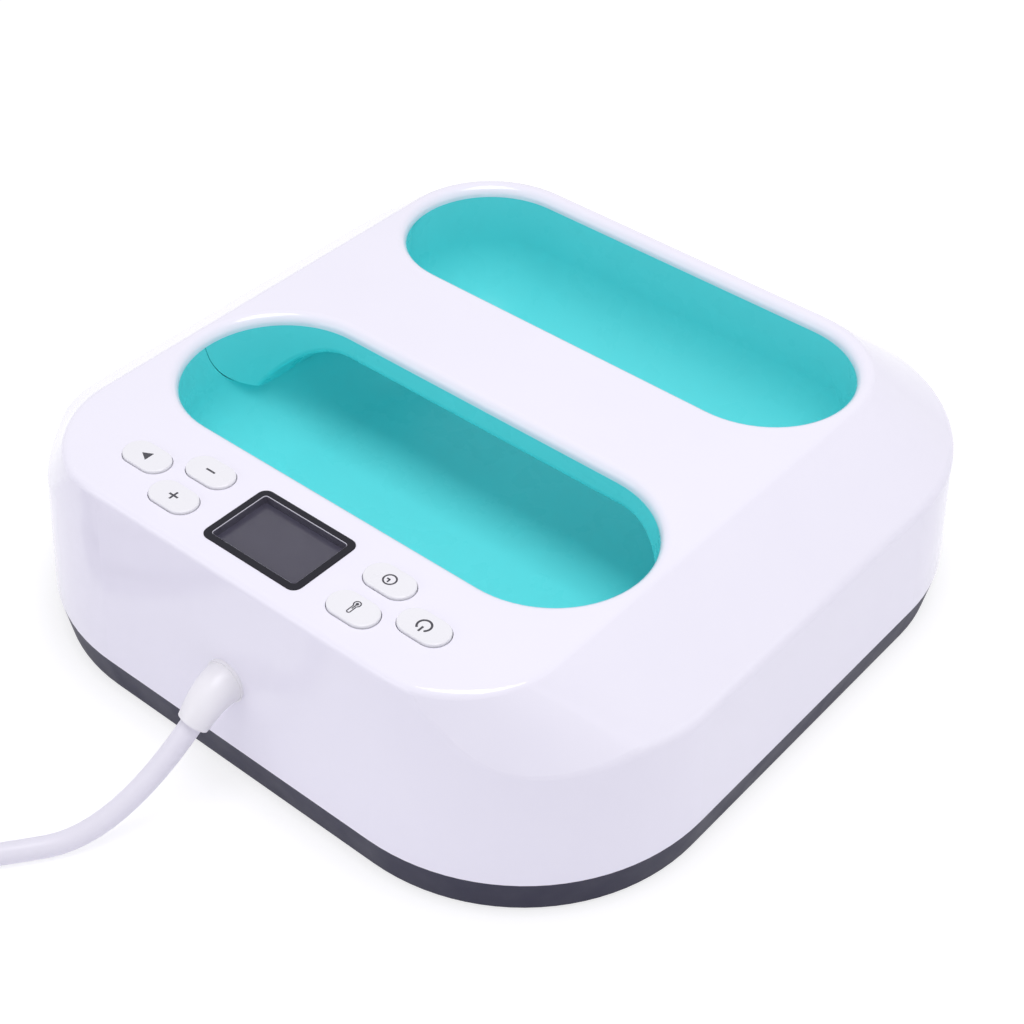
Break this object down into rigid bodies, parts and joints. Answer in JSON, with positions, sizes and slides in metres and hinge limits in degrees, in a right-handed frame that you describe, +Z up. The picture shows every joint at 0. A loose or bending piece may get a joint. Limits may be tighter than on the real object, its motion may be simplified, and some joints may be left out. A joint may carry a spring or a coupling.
{
  "type": "handheld heat press",
  "caption": "Handheld heat press with two hand wells, a bridge handle, a control strip with display and push buttons, and a flat square heating plate below.",
  "frame": {"origin": "on the resting face of the heating plate, below the middle of the body", "axes": "+Z up, +Y towards the control strip and the cord, +X along the handle to the left of a user who faces the control strip"},
  "size_m": [0.338, 0.4949, 0.0952],
  "materials": {
    "white_plastic": "satin moulded ABS",
    "turquoise_plastic": "polished moulded ABS",
    "charcoal_plastic": "fine texture, heat resistant",
    "coated_plate": "non-stick coating on cast aluminium",
    "mica": "matte sheet",
    "plated_steel": "zinc plated",
    "fibre_blanket": "needled glass fibre",
    "lead_sleeve": "silicone sleeve",
    "ceramic_post": "matte steatite",
    "button_plastic": "satin moulded ABS",
    "bezel_plastic": "satin black",
    "clear_window": "polished acrylic",
    "lcd_glass": "dark display, switched off",
    "circuit_board": "green solder mask",
    "black_component": "moulded case",
    "terminal_plastic": "moulded polyamide",
    "fuse_ceramic": "glazed",
    "cord_sheath": "smooth PVC",
    "boot_rubber": "smooth PVC",
    "pin_brass": "nickel plated"
  },
  "bodies": {
    "press": {"upper_shell": "white_plastic", "handle_underside": "turquoise_plastic", "well_liner": "turquoise_plastic", "base_frame": "charcoal_plastic", "heating_plate": "coated_plate", "heating_element": "mica", "element_clamp_plate": "plated_steel", "insulation_blanket": "fibre_blanket", "heat_shield": "plated_steel", "temperature_sensor": "plated_steel", "thermal_cutout": "plated_steel", "heater_leads": "lead_sleeve", "sensor_leads": "lead_sleeve", "plate_standoffs": "ceramic_post", "shell_screws": "plated_steel", "liner_screws": "plated_steel", "handle_screws": "plated_steel", "plate_screws": "plated_steel", "clamp_plate_screws": "plated_steel", "shield_screws": "plated_steel", "board_screws": "plated_steel", "power_board_screws": "plated_steel", "cord_clamp_screws": "plated_steel", "lcd_bezel": "bezel_plastic", "lcd_window": "clear_window", "lcd_module": "lcd_glass", "control_board": "circuit_board", "button_switches": "black_component", "power_board": "circuit_board", "power_supply_module": "black_component", "power_relay": "black_component", "terminal_block": "terminal_plastic", "fuse": "fuse_ceramic", "buzzer": "black_component", "signal_ribbon": "lead_sleeve", "mains_wires": "lead_sleeve", "cord_tail": "cord_sheath", "cord_clamp": "charcoal_plastic", "strain_relief": "boot_rubber", "cord_stretch": "cord_sheath", "cord_coil": "cord_sheath", "plug_body": "cord_sheath", "plug_pins": "pin_brass"},
    "power_button": {"power_button": "button_plastic"},
    "timer_button": {"timer_button": "button_plastic"},
    "temperature_button": {"temperature_button": "button_plastic"},
    "plus_button": {"plus_button": "button_plastic"},
    "minus_button": {"minus_button": "button_plastic"},
    "start_button": {"start_button": "button_plastic"}
  },
  "joints": [
    {"name": "power_press", "type": "slide", "parent": "press", "child": "power_button", "axis": [0, 0, -1], "range_m": [0, 0.0008], "stiffness_N_per_m": 1200, "springref_m": -0.0004},
    {"name": "timer_press", "type": "slide", "parent": "press", "child": "timer_button", "axis": [0, 0, -1], "range_m": [0, 0.0008], "stiffness_N_per_m": 1200, "springref_m": -0.0004},
    {"name": "temperature_press", "type": "slide", "parent": "press", "child": "temperature_button", "axis": [0, 0, -1], "range_m": [0, 0.0008], "stiffness_N_per_m": 1200, "springref_m": -0.0004},
    {"name": "plus_press", "type": "slide", "parent": "press", "child": "plus_button", "axis": [0, 0, -1], "range_m": [0, 0.0008], "stiffness_N_per_m": 1200, "springref_m": -0.0004},
    {"name": "minus_press", "type": "slide", "parent": "press", "child": "minus_button", "axis": [0, 0, -1], "range_m": [0, 0.0008], "stiffness_N_per_m": 1200, "springref_m": -0.0004},
    {"name": "start_press", "type": "slide", "parent": "press", "child": "start_button", "axis": [0, 0, -1], "range_m": [0, 0.0008], "stiffness_N_per_m": 1200, "springref_m": -0.0004}
  ]
}
